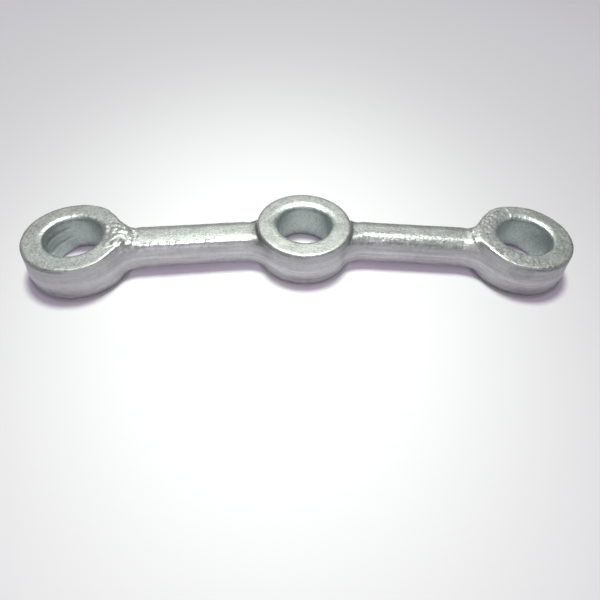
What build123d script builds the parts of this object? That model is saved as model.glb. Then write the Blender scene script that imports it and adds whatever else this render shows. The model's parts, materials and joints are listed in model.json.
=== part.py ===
from build123d import *
import math
import os

# Spreader beam: a one-piece drop forging with three eyes in a shallow V.
# Millimetres. The origin is the centre of the middle bore, halfway through the eye's thickness.
# +X runs along the beam, +Y is the side that the middle eye bows towards, +Z is along the bores.

# Pin holes
half_span = 80.0            # from the middle bore to each end bore, along X
bow = 6.5                   # how far the middle bore stands off the line through the end bores
end_bore_diameter = 20.0
middle_bore_diameter = 20.0
bore_entry_radius = 1.0     # rounding where a bore meets the flat faces

# Eyes
eye_thickness = 14.0
end_eye_diameter = 34.8     # at the parting line, without the flash band
middle_eye_diameter = 35.0
eye_rim_radius = 0.8        # rounding round the outside of each flat face
corner_bevels = 2           # flat steps that turn each rim's and each bore entry's rounding

# Arms
arm_width = 11.5            # at the parting line, without the flash band
arm_step = 1.5              # how far an arm's top and bottom lie inside the flat faces of the eyes
upper_shoulder_radius = 3.4     # rounding along the two upper long edges of an arm
lower_shoulder_radius = 1.6     # the same along the two lower ones, in the shallow half of the die
end_flare_radius = 14.0     # concave curve in plan, from an arm into an end eye
middle_flare_radius = 13.0  # the same at the middle eye
root_radius = 0.65          # rounding in the corner where an arm runs into an eye's wall

# Forging allowances
parting_height = -2.5       # where the dies met, along Z: the upper die was the deeper one
draft_angle = 2.5           # taper of every side wall, away from the parting line
flare_overlap = 0.5         # how deep a flare's tip is buried in its eye
flash_height = 2.0          # band round the outline where the flash was trimmed off, along Z
flash_stand = 0.15          # how far that band stands out from the side walls

match = 0.02                # how near an edge has to lie to a surface to count as on it
arm_length = math.hypot(half_span, bow)
arm_turn = math.degrees(math.atan2(-bow, half_span))
arm_height = eye_thickness - 2 * arm_step
root_wall = arm_step - eye_rim_radius               # plain wall between an arm's top and an eye's rim
root_fillet = min(root_radius, root_wall - match)   # the root's rounding stays on that wall


def drafted(radius, z):
    """Radius of an eye's side wall at a height: it narrows both ways from the parting line."""
    return radius - abs(z - parting_height) * math.tan(math.radians(draft_angle))


def rounded_corner(centre_x, centre_z, radius, start, end):
    """Points of a rounded corner in a profile, from one angle to another, as flat bevels."""
    step = (end - start) / corner_bevels
    angles = [math.radians(start + step * i) for i in range(corner_bevels + 1)]
    return [(centre_x + radius * math.cos(angle), centre_z + radius * math.sin(angle)) for angle in angles]


def turned(*profile):
    """The solid turned about Z from the points of a profile, listed from the top down."""
    return revolve(Plane.XZ * make_face(Polyline(*profile, close=True)), Axis.Z)


def eye(diameter):
    """A solid eye: drafted both ways from the parting line, with rounded rims.

    A quarter turn keeps the seam of its round walls clear of the arms.
    """
    half = eye_thickness / 2
    wall_end = half - eye_rim_radius
    upper_centre = drafted(diameter / 2, wall_end) - eye_rim_radius
    lower_centre = drafted(diameter / 2, -wall_end) - eye_rim_radius
    upper_rim = rounded_corner(upper_centre, wall_end, eye_rim_radius, 90, 0)
    lower_rim = rounded_corner(lower_centre, -wall_end, eye_rim_radius, 0, -90)
    widest = (diameter / 2, parting_height)
    return Rotation(0, 0, 90) * turned((0, half), *upper_rim, widest, *lower_rim, (0, -half))


def bore_cutter(diameter):
    """The metal that a punched pin hole with rounded entries takes away."""
    half = eye_thickness / 2
    wall_end = half - bore_entry_radius
    mouth = diameter / 2 + bore_entry_radius
    upper_entry = rounded_corner(mouth, wall_end, bore_entry_radius, 90, 180)
    lower_entry = rounded_corner(mouth, -wall_end, bore_entry_radius, 180, 270)
    return turned((0, half), *upper_entry, *lower_entry, (0, -half))


def flare(eye_diameter, flare_radius, side):
    """Where a flare leaves the arm's side, and the X and Y of its tip, seen from the eye's centre."""
    buried_radius = eye_diameter / 2 - flare_overlap
    reach = buried_radius + flare_radius
    offset = side + flare_radius
    start_x = math.sqrt(reach ** 2 - offset ** 2)
    share = buried_radius / reach
    return start_x, start_x * share, offset * share


def arm_plan(stand=0.0):
    """Outline of an arm from above: parallel sides that flare into the eyes.

    With stand, the whole outline lies that much further out.
    """
    side = arm_width / 2 + stand
    middle_curve = middle_flare_radius - stand
    end_curve = end_flare_radius - stand
    middle_x, middle_tip_x, middle_tip_y = flare(middle_eye_diameter + 2 * stand, middle_curve, side)
    end_x, end_tip_x, end_tip_y = flare(end_eye_diameter + 2 * stand, end_curve, side)
    end_x = arm_length - end_x
    end_tip_x = arm_length - end_tip_x
    outline = []
    for s in (-1, 1):
        outline.append(RadiusArc((middle_tip_x, s * middle_tip_y), (middle_x, s * side), -s * middle_curve))
        outline.append(Line((middle_x, s * side), (end_x, s * side)))
        outline.append(RadiusArc((end_x, s * side), (end_tip_x, s * end_tip_y), -s * end_curve))
    outline.append(Line((middle_tip_x, middle_tip_y), (middle_tip_x, -middle_tip_y)))
    outline.append(Line((end_tip_x, end_tip_y), (end_tip_x, -end_tip_y)))
    return make_face(outline)


def shoulders(body, z):
    """The long edges between an arm's side walls and its flat top or bottom, at height z."""
    found = []
    for edge in body.edges():
        box = edge.bounding_box()
        runs_across = box.min.Y < 0 < box.max.Y
        if not runs_across and max(abs(box.min.Z - z), abs(box.max.Z - z)) < match:
            found.append(edge)
    return found


def arm():
    """One arm along +X: drafted both ways from the parting line, with rounded shoulders."""
    top = arm_height / 2
    upper = extrude(arm_plan(), amount=top - parting_height, taper=draft_angle)
    lower = extrude(arm_plan(), amount=top + parting_height, taper=draft_angle)
    body = Pos(0, 0, parting_height) * (upper + mirror(lower, about=Plane.XY))
    body = fillet(shoulders(body, top), upper_shoulder_radius)
    return fillet(shoulders(body, -top), lower_shoulder_radius)


def root_edges(body, centre, diameter):
    """The edges where an arm runs into the wall of the eye at centre."""
    found = []
    for edge in body.edges():
        box = edge.bounding_box()
        on_parting_line = max(abs(z - parting_height) for z in (box.min.Z, box.max.Z)) < match
        past_arm = max(abs(box.min.Z), abs(box.max.Z)) > arm_height / 2 + match
        if on_parting_line or past_arm:
            continue
        samples = [edge.position_at(t) for t in (0.0, 0.5, 1.0)]
        gaps = [math.hypot(p.X - centre[0], p.Y - centre[1]) - drafted(diameter / 2, p.Z) for p in samples]
        if max(abs(gap) for gap in gaps) < match:
            found.append(edge)
    return found


def flash_band():
    """The low band round the whole outline that is left where the flash was trimmed off."""
    arm_plate = extrude(arm_plan(flash_stand), amount=flash_height / 2, both=True)
    right_plate = Rotation(0, 0, arm_turn) * arm_plate
    band = right_plate + mirror(right_plate, about=Plane.YZ)
    band += Cylinder(middle_eye_diameter / 2 + flash_stand, flash_height)
    for s in (1, -1):
        band += Pos(s * half_span, -bow, 0) * Cylinder(end_eye_diameter / 2 + flash_stand, flash_height)
    return Pos(0, 0, parting_height) * band


def beam_forging():
    """The whole forging: three eyes, two arms, rounded roots, the flash band and three bores."""
    right_arm = Rotation(0, 0, arm_turn) * arm()
    limb = right_arm + Pos(half_span, -bow, 0) * eye(end_eye_diameter)
    limb = fillet(root_edges(limb, (half_span, -bow), end_eye_diameter), root_fillet)
    body = eye(middle_eye_diameter) + limb + mirror(limb, about=Plane.YZ)
    body = fillet(root_edges(body, (0, 0), middle_eye_diameter), root_fillet)
    body += flash_band()
    body -= bore_cutter(middle_bore_diameter)
    for s in (1, -1):
        body -= Pos(s * half_span, -bow, 0) * bore_cutter(end_bore_diameter)
    return body


os.makedirs("parts", exist_ok=True)
export_step(beam_forging(), "parts/beam_forging.step")
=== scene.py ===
import json
import math

import bmesh
import bpy
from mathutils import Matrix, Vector, noise


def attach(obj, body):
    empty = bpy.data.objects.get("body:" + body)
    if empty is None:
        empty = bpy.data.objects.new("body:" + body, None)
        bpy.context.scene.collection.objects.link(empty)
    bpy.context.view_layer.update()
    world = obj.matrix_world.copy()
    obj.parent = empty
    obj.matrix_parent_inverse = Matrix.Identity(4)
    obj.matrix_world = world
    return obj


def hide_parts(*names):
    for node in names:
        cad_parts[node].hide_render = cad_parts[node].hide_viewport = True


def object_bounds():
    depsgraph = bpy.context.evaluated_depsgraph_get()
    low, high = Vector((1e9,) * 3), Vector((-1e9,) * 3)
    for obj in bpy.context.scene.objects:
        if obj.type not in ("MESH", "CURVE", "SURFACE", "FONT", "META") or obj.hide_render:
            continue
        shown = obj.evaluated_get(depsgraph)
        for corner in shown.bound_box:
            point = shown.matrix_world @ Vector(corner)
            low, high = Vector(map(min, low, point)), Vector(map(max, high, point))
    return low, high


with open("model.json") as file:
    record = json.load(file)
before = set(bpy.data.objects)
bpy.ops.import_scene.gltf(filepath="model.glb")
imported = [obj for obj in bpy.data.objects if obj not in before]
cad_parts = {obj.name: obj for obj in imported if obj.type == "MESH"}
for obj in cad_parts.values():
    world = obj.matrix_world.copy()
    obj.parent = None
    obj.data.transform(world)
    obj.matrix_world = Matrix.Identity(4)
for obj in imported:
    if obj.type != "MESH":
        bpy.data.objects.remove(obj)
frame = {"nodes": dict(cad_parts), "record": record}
cad_box = [list(corner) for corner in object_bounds()]


# ---------------------------------------------------------------------------------------------
# The forging: a steel bar drop-forged to three eyes on two arms, punched for its three pins, then
# dipped in molten zinc. It is one piece of metal. The solid is meshed finely enough to carry the
# marks of the dies and of the zinc as real relief, and the zinc softens every corner a little.
# ---------------------------------------------------------------------------------------------
skin_voxel = 0.00042
skin_passes = 6

bm = bmesh.new()
bm.from_mesh(frame["nodes"]["beam_forging"].data)
bmesh.ops.remove_doubles(bm, verts=bm.verts, dist=1e-6)
solid_mesh = bpy.data.meshes.new("solid")
bm.to_mesh(solid_mesh)
bm.free()
solid = bpy.data.objects.new("solid", solid_mesh)
bpy.context.scene.collection.objects.link(solid)
skin = solid.modifiers.new("skin", "REMESH")
skin.mode = "VOXEL"
skin.voxel_size = skin_voxel
depsgraph = bpy.context.evaluated_depsgraph_get()
forging_mesh = bpy.data.meshes.new_from_object(solid.evaluated_get(depsgraph))
bpy.data.objects.remove(solid)

bm = bmesh.new()
bm.from_mesh(forging_mesh)


def relax(verts, factor):
    """Draws each vertex towards the middle of its neighbours, or away from it."""
    bmesh.ops.smooth_vert(bm, verts=verts, factor=factor, use_axis_x=True, use_axis_y=True, use_axis_z=True)


# Each pass that evens the skin is followed by one that gives back what it shrank.
for turn in range(skin_passes):
    relax(bm.verts, 0.5)
    relax(bm.verts, -0.53)

# The eyes' centres and bores, from the record's mounts.
bore_mounts = {mount["name"]: mount for mount in frame["record"]["mounts"] if mount["kind"] == "bore"}
eye_centres = {name: Vector(mount["pos_m"]) for name, mount in bore_mounts.items()}
middle_eye = eye_centres["middle_bore"]
left_eye = eye_centres["left_bore"]
right_eye = eye_centres["right_bore"]
bore_radius = bore_mounts["middle_bore"]["dims"]["r_mm"] / 1000
face_height = cad_box[1][2]
arm_step = 0.0015
arm_top = face_height - arm_step


def ripple(point, size, shift=0.0):
    """Smooth noise, from about -1 to 1, whose humps and hollows are about size across."""
    return noise.noise(point / size + Vector((shift, shift, shift)))


def fade(value, none, full):
    """0 where value is at none, 1 where it is at full, and a smooth change between."""
    share = min(max((value - none) / (full - none), 0.0), 1.0)
    return share * share * (3 - 2 * share)


def seen_from(centre, point):
    """A point's place seen from an end eye: how far towards the middle eye, and how far off that line."""
    inward = (middle_eye - centre).xy.normalized()
    offset = (point - centre).xy
    return offset.dot(inward), inward.cross(offset)


# The dies leave each arm's top flat in the middle and crowned towards an edge above each side. At the
# front, the left arm's top stays almost flat out to its edge, and the right arm's falls as a bevel.
arm_span = left_eye.length
arm_half_width = 0.00575
middle_flare = 0.0130
middle_flare_start = 0.0241
end_flare = 0.0140
end_flare_start = 0.0244
draft_angle = math.radians(2.5)
side_lean = math.tan(draft_angle)
parting_height = -0.0025
shoulder_radius = 0.0034
hub_height = 0.0021
crown_none = 0.0190
crown_full = 0.0225


def arm_side(along, z):
    """How far an arm's side stands from its middle line, seen from its end eye, at height z."""
    into_the_end_flare = end_flare_start - along
    into_the_middle_flare = middle_flare_start - (arm_span - along)
    reach = arm_half_width - side_lean * abs(z - parting_height)
    for into, radius in ((into_the_end_flare, end_flare), (into_the_middle_flare, middle_flare)):
        if into > 0:
            reach += radius - math.sqrt(max(radius ** 2 - into ** 2, 0.0))
    return reach


def fallen(out, start, bend, steepness):
    """How far a top has fallen at out: it bends from start on, then runs straight on down."""
    past = max(out - start, 0.0)
    bent = min(past, bend)
    return steepness * (bent ** 2 / (2 * bend) + past - bent)


def crowned(point, centre, front):
    """Where a point of an arm's upper shoulder lies once the top is crowned.

    It moves along the ray from a hub inside the arm, to where the ray meets the crown or the side.
    """
    along, across = seen_from(centre, point)
    if point.z < hub_height:
        return point
    hub = arm_side(along, hub_height) - shoulder_radius
    start, bend, steepness = front if across * centre.x > 0 else arm_back
    sideways = max(abs(across) - hub, 0.0)
    upwards = point.z - hub_height
    length = math.hypot(sideways, upwards)
    reach = length
    for turn in range(12):
        out = min(abs(across), hub) + sideways / length * reach
        crown = arm_top - fallen(out, hub + start, bend, steepness) - hub_height
        by_crown = crown * length / upwards if upwards > 1e-6 else 1.0
        side = arm_side(along, hub_height + reach * upwards / length)
        by_side = (side - hub) * length / max(sideways, 1e-6)
        reach = 0.5 * reach + 0.5 * min(by_crown, by_side)
    moved = min(abs(across), hub) + sideways / length * reach - abs(across)
    inward = (middle_eye - centre).xy.normalized()
    sidewards = Vector((-inward.y, inward.x)) * moved * math.copysign(1.0, across)
    share = fade(along, crown_none, crown_full) * fade(arm_span - along, crown_none, crown_full)
    new = Vector((point.x + sidewards.x, point.y + sidewards.y, hub_height + reach * upwards / length))
    return point.lerp(new, share)


# For an arm's back and front: where the top starts to fall, over what length it bends, and its slope
# then. Both arms have the same back.
arm_back = (0.0, shoulder_radius, 0.47)
arm_fronts = ((left_eye, (-0.0020, 0.0030, 0.10)), (right_eye, (-0.0009, 0.0022, 0.66)))
clear_of_an_eye = 0.0185
evened_from = 0.0205
evened_above = 0.0024
for centre, front in arm_fronts:
    shoulders = []
    for vert in bm.verts:
        between = clear_of_an_eye < (vert.co - centre).xy.length < arm_span - clear_of_an_eye
        if between and vert.co.x * centre.x > 0 and vert.co.z > hub_height:
            vert.co = crowned(vert.co.copy(), centre, front)
            if (vert.co - centre).xy.length > evened_from and vert.co.z > evened_above:
                shoulders.append(vert)
    for turn in range(5):
        relax(shoulders, 0.5)

# At an end eye the step from the arm to the flat face is softened, above and below. Each turn evens
# a little less of the arm's height.
step_start = 0.0168
step_length = 0.0034
first_floor = arm_top - 0.0025
floor_rise = 0.0006
for centre in (left_eye, right_eye):
    for turn in range(4):
        floor_of_turn = first_floor + floor_rise * turn
        step = []
        for vert in bm.verts:
            away = (vert.co - centre).xy.length
            on_the_arm_side = abs(vert.co.x) < abs(centre.x)
            at_the_step = step_start < away < step_start + step_length
            if on_the_arm_side and at_the_step and abs(vert.co.z) > floor_of_turn:
                step.append(vert)
        for again in range(10):
            relax(step, 0.5)

# Above, the ramp is a full one: it lifts the arm's top to the eye's face, and fills the step at the rim.
# At the right eye it keeps clear of the arm's shoulders, which still end in a notch beside the rim.
climb_start = 0.0163
climb_end = 0.0208
skin_depth = 0.0004
edge_fade = 0.0021
for centre, clear_of_the_side in ((left_eye, 0.0002), (right_eye, 0.0014)):
    climbing = []
    for vert in bm.verts:
        along, across = seen_from(centre, vert.co)
        away = math.hypot(along, across)
        if along > 0 and climb_start < away < climb_end:
            side = arm_side(along, arm_top)
            over_the_edge = min(max(abs(across) - side + shoulder_radius, 0.0), shoulder_radius)
            rounding = shoulder_radius - math.sqrt(shoulder_radius ** 2 - over_the_edge ** 2)
            arm_surface = arm_top - rounding
            if vert.co.z > arm_surface - skin_depth:
                ramp_surface = arm_surface + arm_step * (1 - fade(away, climb_start, climb_end))
                edge = side - clear_of_the_side
                on_the_arm = fade(abs(across), edge, edge - edge_fade)
                vert.co.z += max(ramp_surface - vert.co.z, 0.0) * on_the_arm
                climbing.append(vert)
    for turn in range(8):
        relax(climbing, 0.5)

# The zinc and the punch leave each bore a little tight, and its upper mouth dragged wide at the back.
tightness = 0.00035
mouth_reach = 0.0130
mouth_edge = 0.0125
wall_edge = 0.0108
dragged_mouths = ((left_eye, 0.00030, 0.0018), (middle_eye, 0.00065, 0.0027), (right_eye, 0.00040, 0.0023))
for centre, dip, reach in dragged_mouths:
    for vert in bm.verts:
        offset = (vert.co - centre).xy
        away = offset.length
        if away < mouth_reach:
            pulled = away - tightness * fade(away, mouth_edge, wall_edge)
            vert.co.x = centre.x + offset.x * pulled / away
            vert.co.y = centre.y + offset.y * pulled / away
            at_the_back = fade(offset.y / away, -0.35, 0.35) * fade(vert.co.z, 0.0035, 0.0055)
            vert.co.z -= dip * at_the_back * min(max(1 - (pulled - bore_radius) / reach, 0.0), 1.0) ** 1.6

# The arms' sides run into the eyes' walls without a crease.
bm.normal_update()
roots = []
for vert in bm.verts:
    for centre in (left_eye, middle_eye, right_eye):
        off_the_arm = abs(vert.co.y - centre.y) > 0.0068
        in_the_corner = 0.0166 < (vert.co - centre).xy.length < 0.0200 and abs(vert.normal.z) < 0.45
        to_an_arm = abs(vert.co.x - centre.x) > 0.0095 and abs(vert.co.x) < abs(left_eye.x) + 0.0005
        if off_the_arm and in_the_corner and to_an_arm:
            roots.append(vert)
for turn in range(36):
    relax(roots, 0.5)

bm.normal_update()
crust_layer = bm.verts.layers.float.new("crust")
wall_layer = bm.verts.layers.float.new("wall")
tint_layer = bm.verts.layers.float.new("tint")
bore_layer = bm.verts.layers.float.new("bore")


def forged_waves(point, sloping):
    """The unevenness that the dies and the hot scale leave on every face, most of all on the corners."""
    broad = 0.00005 * ripple(point, 0.010)
    dents = (0.00003 + 0.00002 * sloping) * ripple(point, 0.0034, 5.0)
    fine = (0.000014 + 0.00002 * sloping) * ripple(point, 0.0014, 9.0)
    return broad + dents + fine


def flash_lines(point):
    """The sheared flash band, whose upper edge stands a little proud, in two strands."""
    wander = 0.00030 * ripple(point, 0.014, 3.0)
    upper = fade(abs(point.z + 0.0003 - wander), 0.0005, 0.0001)
    lower = fade(abs(point.z + 0.0015 - wander), 0.0007, 0.0001)
    return max(upper, lower) * fade(ripple(point, 0.016, 7.0), -0.5, 0.1)


def zinc_lumps(point, along, across):
    """Drips and dross that set where the left arm joins its eye."""
    spread = ((along - 0.0155) / 0.0068) ** 2 + ((across - 0.0005) / 0.0092) ** 2
    return fade(spread, 1.25, 0.45) * fade(point.z, 0.0025, 0.0045)


def zinc_splashes(point, along, across):
    """Runs of zinc along the front edge of the left arm's top."""
    on_the_edge = fade(abs(across + 0.0049), 0.0019, 0.0006) * fade(point.z, 0.0022, 0.0038)
    return on_the_edge * fade(along, 0.017, 0.022) * fade(along, 0.054, 0.044)


def lap_line(point, along, across):
    """A fold in the metal, closed by the dies, along the front of the right arm."""
    drop = abs(point.z - 0.0037 - 0.0004 * ripple(point, 0.014, 1.0))
    on_the_front = fade(across, 0.0035, 0.0045)
    broken = fade(ripple(point, 0.0019, 6.0), -0.5, 0.0)
    on_the_arm = fade(along, 0.020, 0.024) * fade(along, 0.064, 0.058)
    return on_the_front * on_the_arm * fade(drop, 0.00050, 0.00010) * broken


def bore_ledges(point, centre):
    """The outer side of an end bore leans in towards its lower mouth, with two ledges in the left one."""
    outward = Vector((math.copysign(0.87, centre.x), 0.50))
    outer_side = fade((point - centre).xy.normalized().dot(outward), 0.74, 0.99)
    if centre is left_eye:
        ledges = 0.00022 * fade(point.z, 0.0026, 0.0021) + 0.00020 * fade(point.z, -0.0011, -0.0016)
        return outer_side * (ledges + 0.00060 * fade(point.z, 0.002, -0.0065))
    return outer_side * 0.00085 * fade(point.z, 0.004, -0.0065)


def painted_rim_reflection(point, centre):
    """A painted dark reflection: a dark line under an eye's front rim, left of the front, or right of it."""
    facing = Vector((0.50, -0.87)) if centre is right_eye else Vector((-0.70, -0.71))
    in_front = fade((point - centre).xy.normalized().dot(facing), 0.60, 0.88)
    under_the_rim = fade(abs(point.z - face_height + 0.0010), 0.00060, 0.00020)
    return in_front * under_the_rim * fade(ripple(point, 0.0045, 21.0), -0.7, -0.1)


def lap_scar(point):
    """A flap of metal pressed flat at the back of the right eye: along the bore's rim, then outwards."""
    offset = (point - right_eye).xy
    away = offset.length
    along_the_rim = fade(abs(away - 0.0100), 0.00055, 0.0002)
    along_the_rim *= fade(offset.x, -0.0018, -0.0028) * fade(offset.x, -0.0082, -0.0074)
    outwards = fade(abs(offset.x + 0.0015 + 110 * (away - 0.0124) ** 2), 0.00050, 0.0001)
    outwards *= fade(away, 0.0096, 0.0101) * fade(away, 0.0156, 0.0146)
    return max(along_the_rim, outwards) * fade(offset.y, 0.004, 0.006) * fade(point.z, 0.0046, 0.0056)


for vert in bm.verts:
    point = vert.co.copy()
    level = abs(vert.normal.z)
    upright = fade(level, 0.6, 0.2)
    sloping = fade(level, 0.97, 0.85) * fade(level, 0.08, 0.30)
    nearest = min((left_eye, middle_eye, right_eye), key=lambda centre: (point - centre).xy.length)
    away = (point - nearest).xy.length
    in_bore = fade(away, 0.0112, 0.0104)
    outside = 1 - in_bore
    upper_face = fade(vert.normal.z, 0.5, 0.8)

    height = forged_waves(point, sloping)

    # The flash lines stand a little proud, and a painted highlight lightens them and a band along the walls
    # at mid-height.
    flash = flash_lines(point) * upright * outside
    height += 0.00010 * flash
    band_height = -0.0009 if nearest is middle_eye and away < 0.020 else -0.0003
    tint = (0.16 * flash + 0.13 * upright * fade(abs(point.z - band_height), 0.0014, 0.0006)) * outside

    along, across = seen_from(left_eye, point)
    lumps = zinc_lumps(point, along, across) * outside
    splashes = zinc_splashes(point, along, across)
    drips = 0.00034 * max(ripple(point, 0.0016, 2.0) + 0.12, 0) + 0.00012 * ripple(point, 0.0008, 8.0)
    height += lumps * drips
    runs = 0.00022 * max(ripple(point, 0.0017, 4.0), 0) + 0.00012 * ripple(point, 0.0010, 14.0)
    height += splashes * runs
    crust = max(lumps, 0.9 * splashes)

    along, across = seen_from(right_eye, point)
    lap = lap_line(point, along, across)
    # The fold is cut in as a groove, and painted shade darkens it.
    height -= 0.00010 * lap
    tint -= 0.30 * lap

    # The right arm took up a grainy coat, and the right eye the roughest, most of all beside the arm.
    grainy = fade(vert.normal.z, 0.2, 0.5) * fade(abs(across - 0.0025), 0.0045, 0.0015)
    grainy *= fade(along, 0.019, 0.023) * fade(along, 0.064, 0.060)
    height += 0.00007 * grainy * ripple(point, 0.0008, 15.0)
    crust = max(crust, 0.6 * grainy)
    by_the_arm = fade(along, -0.002, 0.008) * fade(away, 0.0175, 0.0160)
    rough_coat = upper_face * outside * fade(point.x, 0.062, 0.066) * (0.45 + 0.55 * by_the_arm)
    height += 0.00011 * rough_coat * ripple(point, 0.0010, 11.0)
    crust = max(crust, 0.8 * rough_coat)

    # Darker on the right eye's outer half, on the right arm and on the middle eye's face, most on upper
    # faces.
    tint -= 0.10 * upper_face * outside * fade(point.x, 0.082, 0.092)
    tint -= (0.08 + 0.04 * upper_face) * outside * fade(point.x, 0.010, 0.025) * fade(point.x, 0.066, 0.058)
    if nearest is middle_eye and away < 0.0178:
        tint -= 0.05 * upper_face * outside
    # A painted dark reflection lies under each eye's front rim.
    tint -= 0.42 * painted_rim_reflection(point, nearest) * fade(away, 0.0158, 0.0164)

    # At the right eye, streaks of zinc lie across the foot of the ramp.
    streak = fade(abs(away - 0.0187 + 0.0002 * ripple(point, 0.002)), 0.0007, 0.0002) * upper_face
    on_its_foot = fade(along, 0.012, 0.016) * fade(point.z, 0.004, 0.005)
    streak *= on_its_foot * fade(ripple(point, 0.0018, 12.0), -0.3, 0.2)
    if nearest is right_eye:
        height += 0.00016 * streak
        crust = max(crust, streak)

    # The scar stands as a ridge, and a painted highlight lightens it.
    scar = lap_scar(point)
    height += 0.00015 * scar
    tint += 0.35 * scar

    # The dragged mouths are ragged.
    dragged = fade(abs(away - 0.0106), 0.0016, 0.0006) * fade(vert.normal.z, 0.15, 0.4)
    dragged *= fade(point.y - nearest.y, -0.002, 0.003)
    height += 0.00007 * dragged * ripple(point, 0.0009, 16.0)
    crust = max(crust, 0.5 * dragged)

    # A dull patch on the right eye's front wall, under the rim.
    patch = ((point.x - 0.0742) / 0.0042) ** 2 + ((point.z - 0.0038) / 0.0030) ** 2
    if point.y < right_eye.y - 0.010:
        tint -= 0.13 * fade(patch, 1.1, 0.8)

    # The end bores' lean moves their walls towards the axis only, and dies out on the lower face.
    lean = Vector((0.0, 0.0, 0.0))
    if nearest is not middle_eye and away < mouth_edge:
        to_the_axis = Vector((nearest.x - point.x, nearest.y - point.y, 0.0)) / away
        lean = bore_ledges(point, nearest) * fade(away, mouth_edge, wall_edge) * to_the_axis

    # In the left bore each ledge gets a painted highlight, under a line of painted shade.
    if nearest is left_eye and away < wall_edge:
        lit = fade(abs(point.z - 0.0022), 0.0005, 0.0001) + 0.8 * fade(abs(point.z + 0.0016), 0.0005, 0.0001)
        upper_line = fade(abs(point.z - 0.0031), 0.0007, 0.0003)
        unlit = upper_line + 0.5 * fade(abs(point.z + 0.0008), 0.0006, 0.0003)
        outer_side = fade((point - left_eye).xy.normalized().dot(Vector((-0.87, 0.50))), 0.72, 0.92)
        tint += outer_side * (0.80 * lit - 0.30 * unlit)

    # Painted shade darkens the roots, where the arms meet the middle eye's wall.
    if nearest is middle_eye:
        tint -= 0.35 * fade(away, 0.0202, 0.0184) * fade(away, 0.0168, 0.0176) * fade(point.z, 0.0030, 0.0042)

    # The eyes rest on their lower faces, so no hump stands below those.
    if point.z < -face_height + 0.0002:
        height = min(height, 0.0)

    vert.co = point + vert.normal * height + lean
    vert[crust_layer] = crust
    vert[wall_layer] = upright * outside
    vert[tint_layer] = tint
    vert[bore_layer] = in_bore

for face in bm.faces:
    face.smooth = True
bm.to_mesh(forging_mesh)
bm.free()

forging = bpy.data.objects.new("galvanised_forging", forging_mesh)
bpy.context.scene.collection.objects.link(forging)


class Wire:
    """A node's output as a term of an expression, which adds the Math nodes that work it out."""

    def __init__(self, socket):
        self.socket = socket

    def node(self, kind, settings, sockets, output=0):
        """A new node in this wire's tree: its settings first, then its sockets' values or wires."""
        tree = self.socket.id_data
        made = tree.nodes.new(kind)
        for name, value in settings.items():
            setattr(made, name, value)
        for name, value in sockets.items():
            if isinstance(value, Wire):
                tree.links.new(value.socket, made.inputs[name])
            else:
                made.inputs[name].default_value = value
        return Wire(made.outputs[output])

    def maths(self, operation, first, second):
        return self.node("ShaderNodeMath", {"operation": operation}, {0: first, 1: second})

    def __add__(self, other):
        return self.maths("ADD", self, other)

    def __sub__(self, other):
        return self.maths("SUBTRACT", self, other)

    def __rsub__(self, other):
        return self.maths("SUBTRACT", other, self)

    def __mul__(self, other):
        return self.maths("MULTIPLY", self, other)

    __radd__ = __add__
    __rmul__ = __mul__


def cloud(place, size, detail=2.0):
    """Noise about nought, from about -0.5 to 0.5, whose patches are about size across."""
    sockets = {"Vector": place, "Scale": 1 / size, "Detail": detail, "Roughness": 0.55}
    return place.node("ShaderNodeTexNoise", {}, sockets) - 0.5


zinc = bpy.data.materials.new("hot_dip_zinc")
zinc.use_nodes = True
tree = zinc.node_tree
shader = tree.nodes["Principled BSDF"]
place = Wire(tree.nodes.new("ShaderNodeTexCoord").outputs["Object"])
crust = place.node("ShaderNodeAttribute", {"attribute_name": "crust"}, {}, "Fac")
wall = place.node("ShaderNodeAttribute", {"attribute_name": "wall"}, {}, "Fac")
bore = place.node("ShaderNodeAttribute", {"attribute_name": "bore"}, {}, "Fac")
tint = place.node("ShaderNodeAttribute", {"attribute_name": "tint"}, {}, "Fac")
drawn_out = place.node("ShaderNodeMapping", {}, {"Vector": place, "Scale": (0.05, 0.05, 1.0)})

speckle = cloud(place, 0.0006, 1.0)
grain = cloud(place, 0.0016, 3.0)
mottle = cloud(place, 0.006, 3.0)
bloom = cloud(place, 0.022, 2.0)
brushed = cloud(drawn_out, 0.0006, 1.0)
flat = 1 - wall

tone = 0.5 + 0.9 * speckle * (0.35 + 0.65 * flat) + 0.3 * grain + 0.3 * mottle + 0.25 * bloom
# The walls are a little darker and the bores a little lighter: painted shade and painted light by which way a
# face looks.
tone = tone + 0.45 * brushed * wall + (0.12 + 1.0 * grain) * crust - 0.05 * wall + 0.02 * bore + tint
colours = {0: tone, 6: (0.27, 0.28, 0.27, 1), 7: (0.79, 0.79, 0.79, 1)}
colour = place.node("ShaderNodeMix", {"data_type": "RGBA"}, colours, 2)
cooler = {0: bore, 6: colour, 7: (0.92, 1.0, 0.99, 1)}
colour = place.node("ShaderNodeMix", {"data_type": "RGBA", "blend_type": "MULTIPLY"}, cooler, 2)
# The walls take a faint violet: painted bounce light from the table's violet shadow.
painted_violet_bounce = {0: wall, 6: colour, 7: (0.99, 0.975, 1.02, 1)}
colour = place.node("ShaderNodeMix", {"data_type": "RGBA", "blend_type": "MULTIPLY"}, painted_violet_bounce, 2)
tree.links.new(colour.socket, shader.inputs["Base Color"])
roughness = 0.47 + 0.22 * speckle + 0.12 * mottle - 0.06 * crust + 0.10 * wall
tree.links.new(roughness.socket, shader.inputs["Roughness"])
shader.inputs["Metallic"].default_value = 0.85

height = (speckle + 0.8 * grain) * (0.4 + 0.6 * flat) + 0.5 * brushed * wall + 1.2 * crust * grain
bump = place.node("ShaderNodeBump", {}, {"Strength": 1.0, "Distance": 0.00006, "Height": height})
tree.links.new(bump.socket, shader.inputs["Normal"])
forging.data.materials.clear()
forging.data.materials.append(zinc)

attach(forging, "root")
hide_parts("beam_forging")


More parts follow.
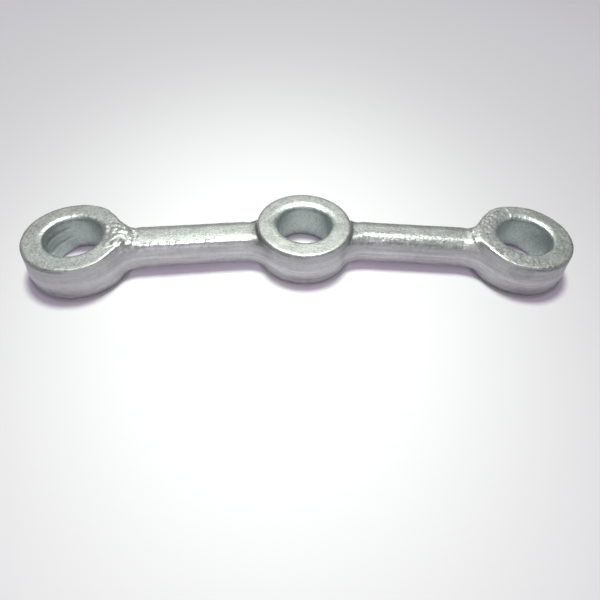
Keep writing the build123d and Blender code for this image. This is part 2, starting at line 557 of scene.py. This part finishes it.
# ---------------------------------------------------------------------------------------------
# The table: a plain white sheet of plastic, which the three eyes rest on. A painted violet glow
# lifts the beam's shadow on it, and painted shade greys it towards its far edges. It is only the
# stage, and no part of the beam.
# ---------------------------------------------------------------------------------------------
table_height = cad_box[0][2]
table_half = 3.0
painted_glow = (0.140, 0.108, 0.165, 1)

bm = bmesh.new()
bmesh.ops.create_grid(bm, x_segments=1, y_segments=1, size=table_half)
bmesh.ops.translate(bm, verts=bm.verts, vec=(0, 0, table_height))
table_mesh = bpy.data.meshes.new("table_top")
bm.to_mesh(table_mesh)
bm.free()
table = bpy.data.objects.new("table_top", table_mesh)
bpy.context.scene.collection.objects.link(table)
white = bpy.data.materials.new("white_table")
white.use_nodes = True
sheet = white.node_tree.nodes["Principled BSDF"]
spot = Wire(white.node_tree.nodes.new("ShaderNodeTexCoord").outputs["Object"])
# Painted shade: the sheet's colour greys away from near the middle of the beam, as the lamp's light falls
# off.
placing = {"Vector": spot, "Location": (0.12, 0.22, 0), "Scale": (10.0, 7.5, 0)}
spread = spot.node("ShaderNodeMapping", {}, placing)
far = spread.node("ShaderNodeVectorMath", {"operation": "DOT_PRODUCT"}, {0: spread, 1: spread}, 1)
painted_falloff = 0.51 + 0.49 * spot.maths("POWER", math.e, -1 * far)
whites = {0: painted_falloff, 6: (0, 0, 0, 1), 7: (0.88, 0.875, 0.865, 1)}
pale = spot.node("ShaderNodeMix", {"data_type": "RGBA"}, whites, 2)
white.node_tree.links.new(pale.socket, sheet.inputs["Base Color"])
sheet.inputs["Roughness"].default_value = 0.6


def eased(wire, none, full):
    """0 where the wire is at none, 1 where it is at full, and a smooth change between."""
    sockets = {"Value": wire, "From Min": none, "From Max": full}
    return wire.node("ShaderNodeMapRange", {"interpolation_type": "SMOOTHSTEP"}, sockets)


def round_a_foot(sideways, backwards):
    """1 where the sheet lies under an eye's ring, given the way from the eye's centre: a painted shadow's
    mask.
    """
    squared = sideways * sideways + backwards * backwards
    away = squared.maths("SQRT", squared, 0.0)
    return eased(away, 0.0086, 0.0102) * (1 - eased(away, 0.0174, 0.0188))


# Painted shadow: where the beam keeps the light off the sheet, its painted glow is dimmed, round each eye's
# foot and under the arms.
x = spot.node("ShaderNodeSeparateXYZ", {}, {0: spot}, 0)
y = spot.node("ShaderNodeSeparateXYZ", {}, {0: spot}, 1)
x = x.maths("ABSOLUTE", x, 0.0)
off_the_arm = (-right_eye.y / arm_span) * x + (right_eye.x / arm_span) * y
off_the_arm = x.maths("ABSOLUTE", off_the_arm, 0.0)
between_the_eyes = eased(x, 0.012, 0.015) * (1 - eased(x, 0.065, 0.068))
under_an_arm = 0.4 * (1 - eased(off_the_arm, 0.0044, 0.0068)) * between_the_eyes
painted_shadow = x.maths("MAXIMUM", round_a_foot(x, y), round_a_foot(x - right_eye.x, y - right_eye.y))
painted_shadow = x.maths("MAXIMUM", painted_shadow, under_an_arm)
painted_glow_colours = {0: painted_shadow, 6: painted_glow, 7: [0.15 * part for part in painted_glow[:3]] + [1]}
painted_glow_shaded = spot.node("ShaderNodeMix", {"data_type": "RGBA"}, painted_glow_colours, 2)
white.node_tree.links.new(painted_glow_shaded.socket, sheet.inputs["Emission Color"])
sheet.inputs["Emission Strength"].default_value = 1.0
table.data.materials.append(white)


# ---------------------------------------------------------------------------------------------
# Light: one soft lamp overhead and a little behind, a wide weak fill from the front, and a dim room.
# ---------------------------------------------------------------------------------------------
def round_lamp(name, size, energy, light, place):
    """A round lamp that faces the middle of the beam."""
    lamp_data = bpy.data.lights.new(name, "AREA")
    lamp_data.shape = "DISK"
    lamp_data.size = size
    lamp_data.energy = energy
    lamp_data.color = light
    lamp = bpy.data.objects.new(name, lamp_data)
    lamp.location = place
    lamp.rotation_euler = (Vector((0, 0, 0)) - lamp.location).to_track_quat("-Z", "Y").to_euler()
    bpy.context.scene.collection.objects.link(lamp)


round_lamp("ceiling_lamp", size=0.17, energy=5.95, light=(0.915, 1.0, 0.895), place=(0.0, 0.19, 0.75))
round_lamp("front_fill", size=0.7, energy=0.9, light=(0.98, 0.90, 1.0), place=(0.0, -0.55, 0.40))

world = bpy.data.worlds.new("room")
bpy.context.scene.world = world
world.use_nodes = True
world.node_tree.nodes["Background"].inputs["Color"].default_value = (1.0, 0.92, 1.05, 1)
world.node_tree.nodes["Background"].inputs["Strength"].default_value = 0.14


# ---------------------------------------------------------------------------------------------
# Camera: in front of the beam and above it, a little left of its middle.
# ---------------------------------------------------------------------------------------------
camera_data = bpy.data.cameras.new("camera")
camera_data.lens = 30.1
camera_data.clip_start = 0.01
camera = bpy.data.objects.new("camera", camera_data)
camera.location = (-0.0133, -0.1388, 0.1255)
camera.rotation_euler = [math.radians(turn) for turn in (40.88, -2.43, -2.75)]
bpy.context.scene.collection.objects.link(camera)
bpy.context.scene.camera = camera

bpy.context.scene.view_settings.view_transform = "Standard"
